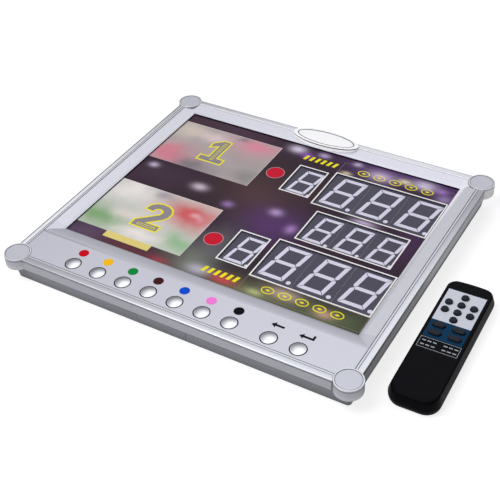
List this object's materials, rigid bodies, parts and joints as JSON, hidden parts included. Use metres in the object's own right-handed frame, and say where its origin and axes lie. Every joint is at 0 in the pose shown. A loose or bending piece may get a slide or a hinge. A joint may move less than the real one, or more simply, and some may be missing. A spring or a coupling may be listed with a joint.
{
  "type": "electronic scoreboard",
  "caption": "Flat electronic scoreboard with segment displays behind a dished silver frame, round corner posts, a strip of domed keys and keyhole hangers, with its hand-held remote control.",
  "frame": {"origin": "middle of the rear tray's flat outer face, which rests on the table or hangs against the wall", "axes": "+Z out of the display, +Y towards the scoreboard's top edge, +X to the viewer's right; the remote lies beside the right-hand edge"},
  "size_m": [0.5053, 0.3844, 0.0359],
  "materials": {
    "tray_grey": "moulded mid grey with a fine metallic fleck, satin",
    "rail_aluminium": "satin anodised silver",
    "post_silver": "silver paint, satin",
    "bezel_silver": "silver paint with a fine fleck, satin",
    "printed_sheet": "reverse-printed polycarbonate, gloss",
    "display_module": "dark slate face with pale translucent segments",
    "red_diffuser": "red translucent diffuser, satin gloss",
    "key_plating": "bright silver plating on plastic, mirror-like",
    "circuit_board": "green solder mask",
    "infrared_filter": "dark purple translucent resin",
    "black_plastic": "black moulded plastic",
    "badge_white": "white, glossy, blank",
    "remote_black": "black moulded plastic, fine texture",
    "battery_jacket": "printed steel jacket, plain",
    "key_rubber": "dark grey silicone rubber"
  },
  "bodies": {
    "case": {"rear_tray": "tray_grey", "service_cover": "tray_grey", "rail_front": "rail_aluminium", "rail_right": "rail_aluminium", "rail_back": "rail_aluminium", "rail_left": "rail_aluminium", "post_front_left": "post_silver", "post_front_right": "post_silver", "post_back_left": "post_silver", "post_back_right": "post_silver", "bezel_panel": "bezel_silver", "print_sheet": "printed_sheet", "digit_score_a_1": "display_module", "digit_score_a_2": "display_module", "digit_score_a_3": "display_module", "digit_score_b_1": "display_module", "digit_score_b_2": "display_module", "digit_score_b_3": "display_module", "digit_break_1": "display_module", "digit_break_2": "display_module", "digit_break_3": "display_module", "digit_frames_a": "display_module", "digit_frames_b": "display_module", "turn_light_a": "red_diffuser", "turn_light_b": "red_diffuser", "display_board": "circuit_board", "key_board": "circuit_board", "receiver": "infrared_filter", "power_inlet": "black_plastic", "badge_dish": "badge_white", "badge_plate": "badge_white"},
    "key_red": {"key_red": "key_plating"},
    "key_yellow": {"key_yellow": "key_plating"},
    "key_green": {"key_green": "key_plating"},
    "key_brown": {"key_brown": "key_plating"},
    "key_blue": {"key_blue": "key_plating"},
    "key_pink": {"key_pink": "key_plating"},
    "key_black": {"key_black": "key_plating"},
    "key_back": {"key_back": "key_plating"},
    "key_confirm": {"key_confirm": "key_plating"},
    "remote": {"remote_upper_shell": "remote_black", "remote_lower_shell": "remote_black", "remote_board": "circuit_board", "remote_emitter": "infrared_filter", "remote_battery_1": "battery_jacket", "remote_battery_2": "battery_jacket"},
    "remote_battery_cover": {"remote_battery_cover": "remote_black"},
    "remote_key_1": {"remote_key_1": "key_rubber"},
    "remote_key_2": {"remote_key_2": "key_rubber"},
    "remote_key_3": {"remote_key_3": "key_rubber"},
    "remote_key_4": {"remote_key_4": "key_rubber"},
    "remote_key_5": {"remote_key_5": "key_rubber"},
    "remote_key_6": {"remote_key_6": "key_rubber"},
    "remote_key_7": {"remote_key_7": "key_rubber"},
    "remote_key_8": {"remote_key_8": "key_rubber"},
    "remote_pill_1": {"remote_pill_1": "key_rubber"},
    "remote_pill_2": {"remote_pill_2": "key_rubber"},
    "remote_pill_3": {"remote_pill_3": "key_rubber"},
    "remote_pill_4": {"remote_pill_4": "key_rubber"}
  },
  "joints": [
    {"name": "key_red_press", "type": "slide", "parent": "case", "child": "key_red", "axis": [0, 0, -1], "range_m": [0, 0.0012], "stiffness_N_per_m": 200, "springref_m": -0.002},
    {"name": "key_yellow_press", "type": "slide", "parent": "case", "child": "key_yellow", "axis": [0, 0, -1], "range_m": [0, 0.0012], "stiffness_N_per_m": 200, "springref_m": -0.002},
    {"name": "key_green_press", "type": "slide", "parent": "case", "child": "key_green", "axis": [0, 0, -1], "range_m": [0, 0.0012], "stiffness_N_per_m": 200, "springref_m": -0.002},
    {"name": "key_brown_press", "type": "slide", "parent": "case", "child": "key_brown", "axis": [0, 0, -1], "range_m": [0, 0.0012], "stiffness_N_per_m": 200, "springref_m": -0.002},
    {"name": "key_blue_press", "type": "slide", "parent": "case", "child": "key_blue", "axis": [0, 0, -1], "range_m": [0, 0.0012], "stiffness_N_per_m": 200, "springref_m": -0.002},
    {"name": "key_pink_press", "type": "slide", "parent": "case", "child": "key_pink", "axis": [0, 0, -1], "range_m": [0, 0.0012], "stiffness_N_per_m": 200, "springref_m": -0.002},
    {"name": "key_black_press", "type": "slide", "parent": "case", "child": "key_black", "axis": [0, 0, -1], "range_m": [0, 0.0012], "stiffness_N_per_m": 200, "springref_m": -0.002},
    {"name": "key_back_press", "type": "slide", "parent": "case", "child": "key_back", "axis": [0, 0, -1], "range_m": [0, 0.0012], "stiffness_N_per_m": 200, "springref_m": -0.002},
    {"name": "key_confirm_press", "type": "slide", "parent": "case", "child": "key_confirm", "axis": [0, 0, -1], "range_m": [0, 0.0012], "stiffness_N_per_m": 200, "springref_m": -0.002},
    {"name": "remote_lift", "type": "slide", "parent": "case", "child": "remote", "axis": [0, 0, 1], "range_m": [0, 0.12]},
    {"name": "remote_cover_slide", "type": "slide", "parent": "remote", "child": "remote_battery_cover", "axis": [0.0209, -0.9998, 0], "range_m": [0, 0.03]},
    {"name": "remote_key_1_press", "type": "slide", "parent": "remote", "child": "remote_key_1", "axis": [0, 0, -1], "range_m": [0, 0.0008], "stiffness_N_per_m": 200, "springref_m": -0.0015},
    {"name": "remote_key_2_press", "type": "slide", "parent": "remote", "child": "remote_key_2", "axis": [0, 0, -1], "range_m": [0, 0.0008], "stiffness_N_per_m": 200, "springref_m": -0.0015},
    {"name": "remote_key_3_press", "type": "slide", "parent": "remote", "child": "remote_key_3", "axis": [0, 0, -1], "range_m": [0, 0.0008], "stiffness_N_per_m": 200, "springref_m": -0.0015},
    {"name": "remote_key_4_press", "type": "slide", "parent": "remote", "child": "remote_key_4", "axis": [0, 0, -1], "range_m": [0, 0.0008], "stiffness_N_per_m": 200, "springref_m": -0.0015},
    {"name": "remote_key_5_press", "type": "slide", "parent": "remote", "child": "remote_key_5", "axis": [0, 0, -1], "range_m": [0, 0.0008], "stiffness_N_per_m": 200, "springref_m": -0.0015},
    {"name": "remote_key_6_press", "type": "slide", "parent": "remote", "child": "remote_key_6", "axis": [0, 0, -1], "range_m": [0, 0.0008], "stiffness_N_per_m": 200, "springref_m": -0.0015},
    {"name": "remote_key_7_press", "type": "slide", "parent": "remote", "child": "remote_key_7", "axis": [0, 0, -1], "range_m": [0, 0.0008], "stiffness_N_per_m": 200, "springref_m": -0.0015},
    {"name": "remote_key_8_press", "type": "slide", "parent": "remote", "child": "remote_key_8", "axis": [0, 0, -1], "range_m": [0, 0.0008], "stiffness_N_per_m": 200, "springref_m": -0.0015},
    {"name": "remote_pill_1_press", "type": "slide", "parent": "remote", "child": "remote_pill_1", "axis": [0, 0, -1], "range_m": [0, 0.0008], "stiffness_N_per_m": 200, "springref_m": -0.0015},
    {"name": "remote_pill_2_press", "type": "slide", "parent": "remote", "child": "remote_pill_2", "axis": [0, 0, -1], "range_m": [0, 0.0008], "stiffness_N_per_m": 200, "springref_m": -0.0015},
    {"name": "remote_pill_3_press", "type": "slide", "parent": "remote", "child": "remote_pill_3", "axis": [0, 0, -1], "range_m": [0, 0.0008], "stiffness_N_per_m": 200, "springref_m": -0.0015},
    {"name": "remote_pill_4_press", "type": "slide", "parent": "remote", "child": "remote_pill_4", "axis": [0, 0, -1], "range_m": [0, 0.0008], "stiffness_N_per_m": 200, "springref_m": -0.0015}
  ]
}
